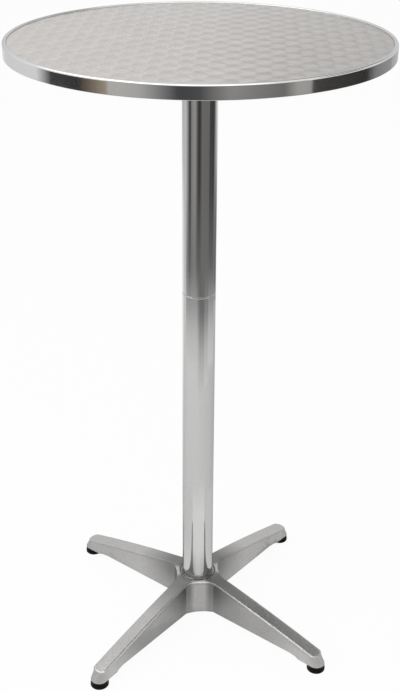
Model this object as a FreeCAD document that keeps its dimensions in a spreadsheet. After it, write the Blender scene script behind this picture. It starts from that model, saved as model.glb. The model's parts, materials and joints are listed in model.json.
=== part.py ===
# Round bar table: a steel-faced top in an aluminium rim, on a two-piece pole and a cast cross base.
# The floor is z = 0, the pole stands on the Z axis and the four legs lie along X and Y.
import FreeCAD, Part
import os
import re

import Sketcher

# Driving sizes in millimetres, each under the piece that owns it
SIZES = {
    # Levelling feet
    "foot_circle_radius": 278.0,
    "pad_radius": 16.4,
    "pad_height": 12.0,
    "pad_round": 1.6,
    "foot_washer_radius": 11.5,
    "foot_washer_thickness": 1.5,
    "stud_radius": 3.92,
    "stud_clearance": 0.4,
    "stud_length": 17.5,
    "stud_bevel": 0.8,
    "stud_head_radius": 7.0,
    "stud_head_height": 3.0,
    "stud_thread_clearance": 0.08,
    "stud_end_room": 1.5,
    "insert_wall": 2.0,
    "insert_length": 13.0,
    # Base casting
    "tip_past_foot": 7.0,
    "leg_half_width": 14.0,
    "tip_bulge": 8.0,
    "tip_corner_round": 5.0,
    "leg_bow": 3.0,
    "tip_height": 15.5,
    "hub_height": 74.5,
    "hub_flat_radius": 42.0,
    "hub_rim_width": 7.9,
    "hub_panel_end": 48.0,
    "hub_panel_round": 30.0,
    "hub_crease_round": 3.0,
    "hub_crown_blend": 40.0,
    "flange_thickness": 5.0,
    "flange_overhang": 2.5,
    "flange_round": 4.0,
    "heel_depth": 2.0,
    "heel_length": 30.0,
    "heel_slope": 6.0,
    "heel_half_width": 14.6,
    "toe_radius": 15.6,
    "toe_draft": 1.8,
    "toe_lean": 8.0,
    "toe_flare_length": 56.0,
    "casting_wall": 4.0,
    "seat_radius": 32.5,
    "seat_depth": 5.0,
    "seat_thickness": 8.0,
    "seat_edge_round": 3.5,
    "spigot_height": 14.0,
    "spigot_clearance": 0.2,
    "rod_hole_clearance": 0.75,
    # Pole
    "tube_radius": 28.5,
    "tube_wall": 1.5,
    "lower_tube_length": 590.0,
    "upper_tube_length": 400.0,
    "collar_thickness": 1.2,
    "sleeve_depth": 30.0,
    "sleeve_bore_radius": 13.0,
    "sleeve_clearance": 0.2,
    # Tie rods, nuts and washers
    "rod_radius": 5.0,
    "rod_thread_clearance": 0.05,
    "rod_tail": 5.0,
    "rod_end_gap": 0.5,
    "nut_across_flats": 17.0,
    "nut_height": 8.0,
    "coupling_nut_length": 40.0,
    "base_washer_radius": 15.0,
    "base_washer_thickness": 2.5,
    "spring_washer_radius": 9.0,
    "spring_washer_thickness": 2.6,
    "spring_washer_split": 1.5,
    # Top bracket
    "bracket_hub_radius": 46.0,
    "bracket_plate_thickness": 6.0,
    "socket_depth": 15.0,
    "socket_wall": 5.0,
    "socket_clearance": 0.25,
    "rod_boss_radius": 11.0,
    "rod_boss_depth": 22.0,
    "arm_reach": 130.0,
    "arm_half_width": 13.0,
    "arm_thickness": 5.0,
    "rib_half_width": 3.0,
    "rib_end_inset": 24.0,
    # Bracket screws
    "screw_inset": 12.0,
    "screw_radius": 2.2,
    "screw_length": 14.0,
    "screw_point_length": 3.0,
    "screw_head_radius": 4.4,
    "screw_head_height": 2.8,
    "screw_clearance": 0.05,
    # Table top
    "top_radius": 300.0,
    "backing_thickness": 0.8,
    "board_thickness": 16.0,
    "board_clearance": 0.5,
    "sheet_thickness": 0.8,
    "sheet_edge_drop": 0.3,
    "sheet_clearance": 0.3,
    "rim_wall": 1.7,
    "rim_foot_width": 12.0,
    "rim_foot_round": 1.0,
    "lip_width": 6.5,
    "lip_rise": 2.2,
    "lip_round": 3.0,
    "lip_edge_round": 1.5,
    # How far a cutting shape runs past what it cuts
    "cut_overrun": 5.0,
}

# Places worked out from the sizes, from the floor up
PLACES = {
    "casting_bottom": "pad_height + foot_washer_thickness",
    "web_bottom": "casting_bottom + heel_depth",
    "toe_reach": "foot_circle_radius + toe_radius",
    "leg_reach": "foot_circle_radius + tip_past_foot",
    "leg_end": "toe_reach + cut_overrun",
    "tip_top": "casting_bottom + tip_height",
    "hub_top": "casting_bottom + hub_height",
    "leg_middle": "(hub_flat_radius + leg_end) / 2",
    "leg_middle_top": "(hub_top + tip_top) / 2 + leg_bow",
    "web_half_width": "leg_half_width - flange_overhang",
    "cavity_half_width": "web_half_width - casting_wall",
    "heel_start": "foot_circle_radius - heel_length",
    "cavity_reach": "heel_start - heel_slope - casting_wall",
    "toe_start": "foot_circle_radius - toe_flare_length",
    "toe_form_top": "tip_top + tip_height",
    "seat_floor": "hub_top - seat_depth",
    "hub_ceiling": "seat_floor - seat_thickness",
    "insert_radius": "stud_radius + stud_thread_clearance + insert_wall",
    "tube_bore_radius": "tube_radius - tube_wall",
    "joint_height": "seat_floor + lower_tube_length",
    "collar_top": "joint_height + collar_thickness",
    "joint_middle": "joint_height + collar_thickness / 2",
    "bracket_seat": "collar_top + upper_tube_length",
    "bracket_top": "bracket_seat + bracket_plate_thickness",
    "socket_radius": "tube_radius + socket_clearance",
    "rod_thread_radius": "rod_radius + rod_thread_clearance",
    "rod_hole_radius": "rod_radius + rod_hole_clearance",
    "washer_bottom": "hub_ceiling - base_washer_thickness",
    "spring_bottom": "washer_bottom - spring_washer_thickness",
    "nut_bottom": "spring_bottom - nut_height",
    "rod_bottom": "nut_bottom - rod_tail",
    "arm_bottom": "bracket_top - arm_thickness",
    "screw_circle": "arm_reach - screw_inset",
    "screw_top": "arm_bottom + screw_length",
    "board_bottom": "bracket_top + backing_thickness",
    "board_top": "board_bottom + board_thickness",
    "sheet_top": "board_top + sheet_thickness",
    "lip_bottom": "sheet_top - sheet_edge_drop",
    "rim_top": "sheet_top + lip_rise",
    "rim_bottom": "bracket_top - rim_wall",
    "rim_bore_radius": "top_radius - rim_wall",
    "lip_bore_radius": "top_radius - lip_width",
}

LEGS = 4
QUARTER = "90 deg"
HEX_SIDES = 6
# A round corner's middle lies this share of its radius in from each side
CORNER_SHARE = "(1 - cos(45 deg))"
TOUCH = 1e-4
# A face counts as a top where its normal rises by more than this share
STEEP_SHARE = 0.5

doc = FreeCAD.newDocument("BarTable")
sheet = doc.addObject("Spreadsheet::Sheet", "Sizes")
for row, (alias, size) in enumerate(SIZES.items(), start=1):
    sheet.set(f"A{row}", alias)
    sheet.set(f"B{row}", str(size))
    sheet.setAlias(f"B{row}", alias)
doc.recompute()

parts = {}


# Formulas

def formula(text):
    """Write a formula in size and place names as an expression on the sheet."""
    def swap(found):
        word = found.group()
        if word in SIZES:
            return f"Sizes.{word}"
        if word in PLACES:
            return f"({formula(PLACES[word])})"
        return word
    return re.sub(r"[a-z_]+", swap, text)


def worth(text):
    """Work out a formula's value."""
    return float(sheet.evalExpression(formula(text)))


def bind(item, settings):
    """Bind properties of an object to formulas."""
    for name, text in settings.items():
        item.setExpression(name, formula(text))


# Sketches and features

def new_body(label):
    body = doc.addObject("PartDesign::Body", label)
    body.Label = label
    return body


def origin_item(body, role):
    return next(item for item in body.Origin.OriginFeatures if item.Role == role)


def new_sketch(body, role, level="0"):
    """Add a sketch on one of the body's origin planes, raised to a level."""
    sketch = body.newObject("Sketcher::SketchObject", body.Label + "_sketch")
    sketch.AttachmentSupport = [(origin_item(body, role), "")]
    sketch.MapMode = "FlatFace"
    bind(sketch, {"AttachmentOffset.Base.z": level})
    return sketch


def pin_point(sketch, element, end, place):
    """Hold one point of a sketch at a place given by two formulas."""
    for kind, text in zip(("DistanceX", "DistanceY"), place):
        index = sketch.addConstraint(Sketcher.Constraint(kind, -1, 1, element, end, worth(text)))
        bind(sketch, {f"Constraints[{index}]": text})


def spot(place):
    return FreeCAD.Vector(worth(place[0]), worth(place[1]), 0)


def draw_outline(sketch, corners):
    """Draw a closed outline. A corner's third item, if any, is a place that the next stretch bends past."""
    ends = []
    for corner, after in zip(corners, corners[1:] + corners[:1]):
        start, finish = spot(corner), spot(after)
        if len(corner) == 2:
            ends.append((sketch.addGeometry(Part.LineSegment(start, finish)), 1, 2))
            continue
        middle = spot(corner[2])
        arc = sketch.addGeometry(Part.Arc(start, middle, finish))
        turn = (middle - start).cross(finish - middle).z
        ends.append((arc, 1, 2) if turn > 0 else (arc, 2, 1))
        through = sketch.addGeometry(Part.Point(middle), True)
        pin_point(sketch, through, 1, corner[2])
        sketch.addConstraint(Sketcher.Constraint("PointOnObject", through, 1, arc))
    for corner, here, after in zip(corners, ends, ends[1:] + ends[:1]):
        pin_point(sketch, here[0], here[1], corner)
        sketch.addConstraint(Sketcher.Constraint("Coincident", here[0], here[2], after[0], after[1]))


def draw_circle(sketch, radius, centre=("0", "0")):
    circle = sketch.addGeometry(Part.Circle(spot(centre), FreeCAD.Vector(0, 0, 1), worth(radius)))
    pin_point(sketch, circle, 3, centre)
    index = sketch.addConstraint(Sketcher.Constraint("Radius", circle, worth(radius)))
    bind(sketch, {f"Constraints[{index}]": radius})


def revolve(body, corners):
    """Turn an outline, given as radius and height, about the Z axis."""
    sketch = new_sketch(body, "XZ_Plane")
    draw_outline(sketch, corners)
    turned = body.newObject("PartDesign::Revolution", body.Label + "_turned")
    turned.Profile = sketch
    turned.ReferenceAxis = (sketch, ["V_Axis"])
    doc.recompute()
    return turned


def pad(body, sketch, depth, symmetric=False):
    feature = body.newObject("PartDesign::Pad", body.Label + "_pad")
    feature.Profile = sketch
    feature.SideType = "Symmetric" if symmetric else "One side"
    bind(feature, {"Length": depth})
    doc.recompute()
    return feature


def polar(body, features):
    """Repeat features once for each leg, about the Z axis."""
    pattern = body.newObject("PartDesign::PolarPattern", body.Label + "_pattern")
    pattern.Originals = features
    pattern.Axis = (origin_item(body, "Z_Axis"), [""])
    pattern.Occurrences = LEGS
    body.Tip = pattern
    doc.recompute()
    return pattern


def round_edges(body, chosen, radius):
    """Fillet the edges of a body that chosen(edge, shape) picks."""
    base = body.Tip
    shape = base.Shape
    names = [f"Edge{n}" for n, edge in enumerate(shape.Edges, start=1) if chosen(edge, shape)]
    fillet = body.newObject("PartDesign::Fillet", body.Label + "_round")
    fillet.Base = (base, names)
    bind(fillet, {"Radius": radius})
    body.Tip = fillet
    doc.recompute()


def on_circle(radius, height):
    """Choose the circles of one radius at one height."""
    def chosen(edge, shape):
        curve = edge.Curve
        if not isinstance(curve, Part.Circle):
            return False
        return abs(curve.Radius - worth(radius)) < TOUCH and abs(curve.Center.z - worth(height)) < TOUCH
    return chosen


def turned_part(label, corners):
    body = new_body(label)
    revolve(body, corners)
    parts[label] = body
    return body


def cylinder(label, radius, bottom, top, number=None):
    """Add a cylinder on the Z axis or, with a number, on that foot's axis."""
    item = doc.addObject("Part::Cylinder", label)
    bind(item, {"Radius": radius, "Height": f"({top}) - ({bottom})", "Placement.Base.z": bottom})
    if number is not None:
        set_on_leg(item, number, "foot_circle_radius")
    return item


def set_on_leg(item, number, radius):
    """Place an object on one leg's line, at a radius from the pole."""
    bind(item, {
        "Placement.Base.x": f"{radius} * cos({number} * {QUARTER})",
        "Placement.Base.y": f"{radius} * sin({number} * {QUARTER})",
    })


def fuse(label, items):
    joined = doc.addObject("Part::MultiFuse", label)
    joined.Shapes = items
    joined.Refine = True
    doc.recompute()
    return joined


def common(label, base, tool):
    shared = doc.addObject("Part::Common", label)
    shared.Base = base
    shared.Tool = tool
    doc.recompute()
    return shared


def cut(label, base, tool):
    left = doc.addObject("Part::Cut", label)
    left.Base = base
    left.Tool = tool
    doc.recompute()
    return left


def gather(label, items):
    group = doc.addObject("Part::Compound", label)
    group.Links = items
    parts[label] = group


def ring(inner, outer, bottom, top):
    """Give the outline of a ring or tube section."""
    return [(inner, bottom), (outer, bottom), (outer, top), (inner, top)]


# Levelling feet: a moulded pad on a threaded stud, with a loose washer under the leg

def make_foot(number):
    name = number + 1
    body = turned_part(f"foot_pad_{name}", [
        ("0", "0"),
        ("pad_radius", "0"),
        ("pad_radius", "pad_height"),
        ("stud_head_radius", "pad_height"),
        ("stud_head_radius", "pad_height - stud_head_height"),
        ("0", "pad_height - stud_head_height"),
    ])
    for height in ("0", "pad_height"):
        round_edges(body, on_circle("pad_radius", height), "pad_round")
    stud = turned_part(f"foot_stud_{name}", [
        ("0", "pad_height - stud_head_height"),
        ("stud_head_radius", "pad_height - stud_head_height"),
        ("stud_head_radius", "pad_height"),
        ("stud_radius", "pad_height"),
        ("stud_radius", "pad_height + stud_length - stud_bevel"),
        ("stud_radius - stud_bevel", "pad_height + stud_length"),
        ("0", "pad_height + stud_length"),
    ])
    hole = "stud_radius + stud_clearance"
    section = ring(hole, "foot_washer_radius", "pad_height", "casting_bottom")
    washer = turned_part(f"foot_washer_{name}", section)
    for item in (body, stud, washer):
        set_on_leg(item, number, "foot_circle_radius")


def make_inserts():
    """Threaded inserts, one cast into each leg's heel."""
    made = []
    for number in range(LEGS):
        body = new_body(f"insert_{number + 1}")
        bore = "stud_radius + stud_thread_clearance"
        revolve(body, ring(bore, "insert_radius", "casting_bottom", "casting_bottom + insert_length"))
        set_on_leg(body, number, "foot_circle_radius")
        made.append(body)
    gather("foot_inserts", made)


# Base casting: a flanged cross, hollow underneath, with a sunk seat for the pole

def upright_at(across, along):
    """Choose the edges that stand at one place of a leg's outline, on every leg."""
    place = sorted((worth(across), worth(along)))

    def chosen(edge, shape):
        ends = [sorted((abs(vertex.X), abs(vertex.Y))) for vertex in edge.Vertexes]
        return all(abs(got - want) < TOUCH for end in ends for got, want in zip(end, place))
    return chosen


def panel_half(half_width, inset):
    """Give the hub's panel from the diagonal to one leg: its middle, a place it bends past, and its end."""
    middle = f"(seat_radius + hub_rim_width - ({inset}))"
    reach = f"((hub_panel_end - ({half_width})) / sqrt(2))"
    rise = f"((hub_panel_end + {half_width}) / sqrt(2) - {middle})"
    radius = f"(({reach} ^ 2 + {rise} ^ 2) / (2 * {rise}))"
    half_turn = f"asin({reach} / {radius}) / 2"
    out = f"({middle} + {radius} * (1 - cos({half_turn})))"
    across = f"({radius} * sin({half_turn}))"
    corner = f"{middle} / sqrt(2)"
    bend = (f"({out} + {across}) / sqrt(2)", f"({out} - {across}) / sqrt(2)")
    return corner, bend


def cross_plan(label, half_width, reach, bulge, inset, crease, top):
    """Extrude a cross of legs with bulging ends, joined at the hub by hollowed panels, from the floor up."""
    body = new_body(label)
    sketch = new_sketch(body, "XY_Plane")
    shoulder = f"{reach} - {bulge}"
    corner, bend = panel_half(half_width, inset)
    draw_outline(sketch, [
        ("0", "0"),
        (corner, f"-({corner})", (bend[0], f"-({bend[1]})")),
        ("hub_panel_end", f"-({half_width})"),
        (shoulder, f"-({half_width})", (reach, "0")),
        (shoulder, half_width),
        ("hub_panel_end", half_width, bend),
        (corner, corner),
    ])
    polar(body, [pad(body, sketch, top)])
    if crease:
        round_edges(body, upright_at("hub_panel_end", half_width), crease)
    return body


def leg_line(drop="0"):
    """Give the bowed line of a leg's top, from hub to tip, lowered by a drop."""
    middle = ("leg_middle", f"leg_middle_top - {drop}")
    return [("hub_flat_radius", f"hub_top - {drop}", middle), ("leg_end", f"tip_top - {drop}")]


def under_leg_line(drop):
    """Give the same line from tip to hub."""
    middle = ("leg_middle", f"leg_middle_top - {drop}")
    return [("leg_end", f"tip_top - {drop}", middle), ("hub_flat_radius", f"hub_top - {drop}")]


def make_flange():
    """The leg tops and the hub's crown, with the seat's hole and every top edge rounded."""
    form = new_body("flange_form")
    under = under_leg_line("flange_thickness")
    revolve(form, [("0", "hub_top")] + leg_line() + under + [("0", "hub_top - flange_thickness")])
    round_edges(form, on_circle("hub_flat_radius", "hub_top"), "hub_crown_blend")
    # The seam of the turned form lies between two legs
    bind(form, {"Placement.Rotation.Yaw": f"{QUARTER} / 2"})
    above = "hub_top + cut_overrun"
    width = "leg_half_width"
    plan = cross_plan("flange_plan", width, "leg_reach", "tip_bulge", "0", "hub_panel_round", above)
    round_edges(plan, upright_at(width, "leg_reach - tip_bulge"), "tip_corner_round")
    hole = cylinder("flange_hole", "seat_radius", "0", above)
    sharp = cut("flange_sharp", common("flange_cross", form, plan), hole)
    flange = new_body("flange")
    flange.BaseFeature = sharp
    doc.recompute()
    round_edges(flange, on_circle("seat_radius", "hub_top"), "seat_edge_round")
    round_edges(flange, on_outer_top, "flange_round")
    return flange


def on_outer_top(edge, shape):
    """Choose the edges between the flange's upright rim and its top."""
    middle = edge.valueAt((edge.FirstParameter + edge.LastParameter) / 2)
    if middle.x ** 2 + middle.y ** 2 < (worth("seat_radius + seat_edge_round") + TOUCH) ** 2:
        return False
    rises = []
    for face in shape.ancestorsOfType(edge, Part.Face):
        rises.append(face.normalAt(*face.Surface.parameter(middle)).z)
    return max(rises) > STEEP_SHARE and min(map(abs, rises)) < TOUCH


def toe_outline(body, level, draft, lean):
    """Sketch a toe's outline at one level, flared from the leg's wall to the foot."""
    sketch = new_sketch(body, "XY_Plane", level)
    start = "web_half_width - toe_draft / 2"
    heel = f"heel_half_width - {draft}"
    toe = f"toe_radius - {draft}"
    reach = f"toe_reach - {lean}"
    draw_outline(sketch, [
        ("toe_start", f"-({start})"),
        ("heel_start", f"-({heel})"),
        (f"{reach} - ({toe})", f"-({toe})", (reach, "0")),
        (f"{reach} - ({toe})", toe),
        ("heel_start", heel),
        ("toe_start", start),
    ])
    return sketch


def make_toe(number):
    """The block round one foot, which leans back by the draft and the lean at the height of the tip."""
    body = new_body(f"toe_{number}")
    low = toe_outline(body, "casting_bottom", "0", "0")
    high = toe_outline(body, "toe_form_top", "2 * toe_draft", "2 * toe_lean")
    loft = body.newObject("PartDesign::AdditiveLoft", f"toe_{number}_loft")
    loft.Profile = low
    loft.Sections = [high]
    loft.Ruled = True
    bind(body, {"Placement.Rotation.Yaw": f"({number} - 1) * {QUARTER}"})
    doc.recompute()
    return body


def make_base_form():
    """Join the overhanging flange to the narrower walls and the toes under it."""
    walls = new_body("wall_form")
    revolve(walls, [
        ("0", "web_bottom"),
        ("heel_start - heel_slope", "web_bottom"),
        ("heel_start", "casting_bottom"),
        ("leg_end", "casting_bottom"),
    ] + under_leg_line("flange_thickness / 2") + [("0", "hub_top - flange_thickness / 2")])
    reach = "leg_reach - flange_overhang"
    width = "web_half_width"
    crease = "hub_crease_round"
    plan = cross_plan("wall_plan", width, reach, "tip_bulge", "flange_overhang", crease, "hub_top")
    sides = fuse("sides", [plan] + [make_toe(number) for number in range(LEGS)])
    return fuse("base_form", [make_flange(), common("walls", walls, sides)])


def make_base_hollow():
    """The space inside the walls, open underneath."""
    room = new_body("hollow_form")
    roof = under_leg_line("flange_thickness")
    seat_edge = "seat_radius + casting_wall"
    revolve(room, [("0", "0"), ("leg_end", "0")] + roof + [(seat_edge, "hub_ceiling"), ("0", "hub_ceiling")])
    inset = "flange_overhang + casting_wall"
    width = "cavity_half_width"
    plan = cross_plan("hollow_plan", width, "cavity_reach", width, inset, None, "hub_top")
    return common("hollow", room, plan)


def make_base():
    form = make_base_form()
    seat = cylinder("seat", "seat_radius", "seat_floor", "hub_top + cut_overrun")
    spaces = [make_base_hollow(), seat]
    bottom = "casting_bottom - cut_overrun"
    insert_top = "casting_bottom + insert_length"
    stud_top = "pad_height + stud_length + stud_end_room"
    stud_hole = "stud_radius + stud_clearance"
    for number in range(LEGS):
        spaces.append(cylinder(f"insert_hole_{number}", "insert_radius", bottom, insert_top, number))
        spaces.append(cylinder(f"stud_hole_{number}", stud_hole, bottom, stud_top, number))
    shell = cut("base_shell", form, fuse("base_spaces", spaces))
    spigot_radius = "tube_bore_radius - spigot_clearance"
    spigot = cylinder("spigot", spigot_radius, "hub_ceiling", "seat_floor + spigot_height")
    whole = fuse("base_whole", [shell, spigot])
    hole = cylinder("rod_hole", "rod_hole_radius", "0", "hub_top + spigot_height")
    return cut("base_casting", whole, hole)


# Pole: two tubes of one section, butted on the collar of a sleeve inside them

def make_pole():
    turned_part("lower_tube", ring("tube_bore_radius", "tube_radius", "seat_floor", "joint_height"))
    turned_part("upper_tube", ring("tube_bore_radius", "tube_radius", "collar_top", "bracket_seat"))
    sleeve = "tube_bore_radius - sleeve_clearance"
    turned_part("joint_sleeve", [
        ("sleeve_bore_radius", "joint_height - sleeve_depth"),
        (sleeve, "joint_height - sleeve_depth"),
        (sleeve, "joint_height"),
        ("tube_radius", "joint_height"),
        ("tube_radius", "collar_top"),
        (sleeve, "collar_top"),
        (sleeve, "collar_top + sleeve_depth"),
        ("sleeve_bore_radius", "collar_top + sleeve_depth"),
    ])


# Tie rods: they pull the bracket down on the pole and the pole down on the base

def make_rod(label, bottom, top):
    turned_part(label, [("0", bottom), ("rod_radius", bottom), ("rod_radius", top), ("0", top)])


def make_nut(label, bottom, height):
    body = new_body(label)
    sketch = new_sketch(body, "XY_Plane", bottom)
    corner = "nut_across_flats / sqrt(3)"
    turns = [f"{number} * 360 deg / {HEX_SIDES}" for number in range(HEX_SIDES)]
    draw_outline(sketch, [(f"{corner} * cos({turn})", f"{corner} * sin({turn})") for turn in turns])
    draw_circle(sketch, "rod_thread_radius")
    pad(body, sketch, height)
    parts[label] = body


def make_rods():
    make_rod("lower_tie_rod", "rod_bottom", "joint_middle - rod_end_gap")
    make_rod("upper_tie_rod", "joint_middle + rod_end_gap", "bracket_seat")
    make_nut("rod_coupling_nut", "joint_middle - coupling_nut_length / 2", "coupling_nut_length")
    make_nut("base_nut", "nut_bottom", "nut_height")
    turned_part("base_washer", ring("rod_hole_radius", "base_washer_radius", "washer_bottom", "hub_ceiling"))
    spring = new_body("spring_ring")
    revolve(spring, ring("rod_hole_radius", "spring_washer_radius", "spring_bottom", "washer_bottom"))
    split = doc.addObject("Part::Box", "spring_split")
    bind(split, {
        "Length": "spring_washer_radius + cut_overrun",
        "Width": "spring_washer_split",
        "Height": "spring_washer_thickness + 2 * cut_overrun",
        "Placement.Base.y": "-spring_washer_split / 2",
        "Placement.Base.z": "spring_bottom - cut_overrun",
    })
    parts["base_spring_washer"] = cut("base_spring_washer", spring, split)


# Top bracket: a cast hub with a socket for the pole and four ribbed arms

def make_bracket():
    body = new_body("top_bracket")
    socket_outside = "socket_radius + socket_wall"
    revolve(body, [
        ("rod_thread_radius", "bracket_seat - rod_boss_depth"),
        ("rod_boss_radius", "bracket_seat - rod_boss_depth"),
        ("rod_boss_radius", "bracket_seat"),
        ("socket_radius", "bracket_seat"),
        ("socket_radius", "bracket_seat - socket_depth"),
        (socket_outside, "bracket_seat - socket_depth"),
        (socket_outside, "bracket_seat"),
        ("bracket_hub_radius", "bracket_seat"),
        ("bracket_hub_radius", "bracket_top"),
        ("0", "bracket_top"),
        ("0", "bracket_seat"),
        ("rod_thread_radius", "bracket_seat"),
    ])
    plan = new_sketch(body, "XY_Plane", "arm_bottom")
    shoulder = "arm_reach - arm_half_width"
    draw_outline(plan, [
        ("socket_radius", "-arm_half_width"),
        (shoulder, "-arm_half_width", ("arm_reach", "0")),
        (shoulder, "arm_half_width"),
        ("socket_radius", "arm_half_width"),
    ])
    draw_circle(plan, "screw_radius + screw_clearance", ("screw_circle", "0"))
    arm = pad(body, plan, "arm_thickness")
    side = new_sketch(body, "XZ_Plane")
    draw_outline(side, [
        ("socket_radius + socket_wall / 2", "bracket_seat - socket_depth"),
        ("socket_radius + socket_wall", "bracket_seat - socket_depth"),
        ("arm_reach - rib_end_inset", "arm_bottom"),
        ("socket_radius + socket_wall / 2", "arm_bottom"),
    ])
    rib = pad(body, side, "2 * rib_half_width", symmetric=True)
    polar(body, [arm, rib])
    parts["top_bracket"] = body


def screw_hole(label, bottom, top, number):
    hole = cylinder(label, "screw_radius + screw_clearance", bottom, top)
    set_on_leg(hole, number, "screw_circle")
    return hole


def make_screws():
    made = []
    for number in range(LEGS):
        body = new_body(f"bracket_screw_{number + 1}")
        revolve(body, [
            ("0", "arm_bottom - screw_head_height"),
            ("screw_head_radius / 2", "arm_bottom - screw_head_height"),
            ("screw_head_radius", "arm_bottom - screw_head_height / 2"),
            ("screw_head_radius", "arm_bottom"),
            ("screw_radius", "arm_bottom"),
            ("screw_radius", "screw_top - screw_point_length"),
            ("0", "screw_top"),
        ])
        set_on_leg(body, number, "screw_circle")
        made.append(body)
    gather("bracket_screws", made)


# Table top: a board between a steel face and a backing sheet, all held in a rolled rim

def make_top():
    board_radius = "rim_bore_radius - board_clearance"
    layers = {
        "core_board": ("board_bottom", "board_top", "screw_top"),
        "backing_sheet": ("bracket_top", "board_bottom", "board_bottom"),
    }
    for label, (bottom, top, hole_top) in layers.items():
        disc = cylinder(f"{label}_disc", board_radius, bottom, top)
        low = f"{bottom} - cut_overrun"
        high = hole_top if hole_top != top else f"{top} + cut_overrun"
        holes = [screw_hole(f"{label}_hole_{number}", low, high, number) for number in range(LEGS)]
        parts[label] = cut(label, disc, fuse(f"{label}_holes", holes))
    face_radius = "lip_bore_radius - sheet_clearance"
    turned_part("top_sheet", [
        ("0", "board_top"),
        (board_radius, "board_top"),
        (board_radius, "lip_bottom"),
        (face_radius, "lip_bottom"),
        (face_radius, "sheet_top"),
        ("0", "sheet_top"),
    ])
    outer_dip = f"lip_round * {CORNER_SHARE}"
    inner_dip = f"lip_edge_round * {CORNER_SHARE}"
    outer_corner = (f"top_radius - {outer_dip}", f"rim_top - {outer_dip}")
    inner_corner = (f"lip_bore_radius + {inner_dip}", f"rim_top - {inner_dip}")
    rim = turned_part("edge_rim", [
        ("top_radius - rim_foot_width", "rim_bottom"),
        ("top_radius", "rim_bottom"),
        ("top_radius", "rim_top - lip_round", outer_corner),
        ("top_radius - lip_round", "rim_top"),
        ("lip_bore_radius + lip_edge_round", "rim_top", inner_corner),
        ("lip_bore_radius", "rim_top - lip_edge_round"),
        ("lip_bore_radius", "lip_bottom"),
        ("rim_bore_radius", "lip_bottom"),
        ("rim_bore_radius", "bracket_top"),
        ("top_radius - rim_foot_width", "bracket_top"),
    ])
    round_edges(rim, on_circle("top_radius", "rim_bottom"), "rim_foot_round")


for foot in range(LEGS):
    make_foot(foot)
make_inserts()
parts["base_casting"] = make_base()
make_pole()
make_rods()
make_bracket()
make_screws()
make_top()
doc.recompute()

for item in doc.Objects:
    assert not {"Invalid", "Error"} & set(item.State), f"{item.Label}: {item.State}"
os.makedirs("parts", exist_ok=True)
for label, item in parts.items():
    shape = item.Shape
    assert not shape.isNull() and shape.isValid() and shape.Solids, label
    print(f"{label}: {len(shape.Solids)} solids, {shape.Volume / 1000:.1f} cm3")
for label, item in parts.items():
    item.Shape.exportStep(f"parts/{label}.step")
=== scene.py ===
# %% [markdown]
# A bar table, dressed in Blender.
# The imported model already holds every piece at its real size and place, so this lesson is about looks: a
# camera where the photograph was taken from, a plain studio, clean turned and cast pieces, and metals that
# behave like metals. Blender works in metres; sizes of pieces are written in millimetres and turned into
# metres once.

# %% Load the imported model
import json
import math

import bmesh
import bpy
from mathutils import Matrix, Vector


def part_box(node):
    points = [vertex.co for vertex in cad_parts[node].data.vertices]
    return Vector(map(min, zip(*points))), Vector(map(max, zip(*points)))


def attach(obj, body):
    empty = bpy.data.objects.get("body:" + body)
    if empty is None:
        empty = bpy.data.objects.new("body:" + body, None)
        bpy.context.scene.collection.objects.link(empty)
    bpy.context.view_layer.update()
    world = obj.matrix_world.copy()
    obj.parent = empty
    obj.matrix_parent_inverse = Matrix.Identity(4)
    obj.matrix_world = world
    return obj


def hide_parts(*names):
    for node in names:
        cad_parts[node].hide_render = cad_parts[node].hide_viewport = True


MM = 0.001
same_point = 1e-6
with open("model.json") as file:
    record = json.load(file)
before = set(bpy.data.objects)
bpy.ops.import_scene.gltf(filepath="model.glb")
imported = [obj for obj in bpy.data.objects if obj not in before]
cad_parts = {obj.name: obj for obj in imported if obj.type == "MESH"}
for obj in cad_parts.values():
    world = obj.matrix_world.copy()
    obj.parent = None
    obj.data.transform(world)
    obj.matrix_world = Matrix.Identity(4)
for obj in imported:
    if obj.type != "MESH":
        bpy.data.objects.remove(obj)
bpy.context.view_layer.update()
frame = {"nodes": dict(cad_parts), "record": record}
nodes = frame["nodes"]


def new_object(name, data):
    """Add an object to the scene."""
    item = bpy.data.objects.new(name, data)
    bpy.context.scene.collection.objects.link(item)
    return item


# %% [markdown]
# The camera.
# It could be moved by eye until the picture looks right. Here its place comes from the photograph's own
# geometry: the ellipse of the top, the edges of the pole and the four feet fix how far away it was, how
# high, and how long its lens is.

# %% Camera
camera_azimuth = math.radians(38.734)
camera_distance = 1.751215
camera_height = 1.456847
heading = math.radians(38.659)
tilt_down = math.radians(26.826)
roll = math.radians(0.348)

camera_data = bpy.data.cameras.new("photo_camera")
camera_data.sensor_width = 36.0
camera_data.lens = 58.866
camera_data.clip_start = 0.05
camera_data.clip_end = 60.0
camera = new_object("photo_camera", camera_data)
turn = (Matrix.Rotation(heading, 4, "Z") @ Matrix.Rotation(math.pi / 2 - tilt_down, 4, "X")
        @ Matrix.Rotation(roll, 4, "Z"))
place = Vector((math.sin(camera_azimuth), -math.cos(camera_azimuth), 0)) * camera_distance
camera.matrix_world = Matrix.Translation((place.x, place.y, camera_height)) @ turn
bpy.context.scene.camera = camera
bpy.context.scene.view_settings.view_transform = "Standard"
print("camera at", [round(v, 3) for v in camera.matrix_world.translation])


# %% [markdown]
# Node trees.
# Shaders and Geometry Nodes are both trees of nodes. Adding each node, its options and its wires by hand
# takes four lines a node, so one helper does all of it: a plain value fills a socket, and another node's
# output is wired to it. The helpers after it are the sums that come up again and again.

# %% A short way to add nodes
def add(tree, kind, values=None, **settings):
    """Add a node, set its options, and fill its inputs with plain values or with wires."""
    node = tree.nodes.new(kind)
    for name, value in settings.items():
        setattr(node, name, value)
    for name, value in (values or {}).items():
        if isinstance(value, bpy.types.NodeSocket):
            tree.links.new(value, node.inputs[name])
        else:
            node.inputs[name].default_value = value
    return node


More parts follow.
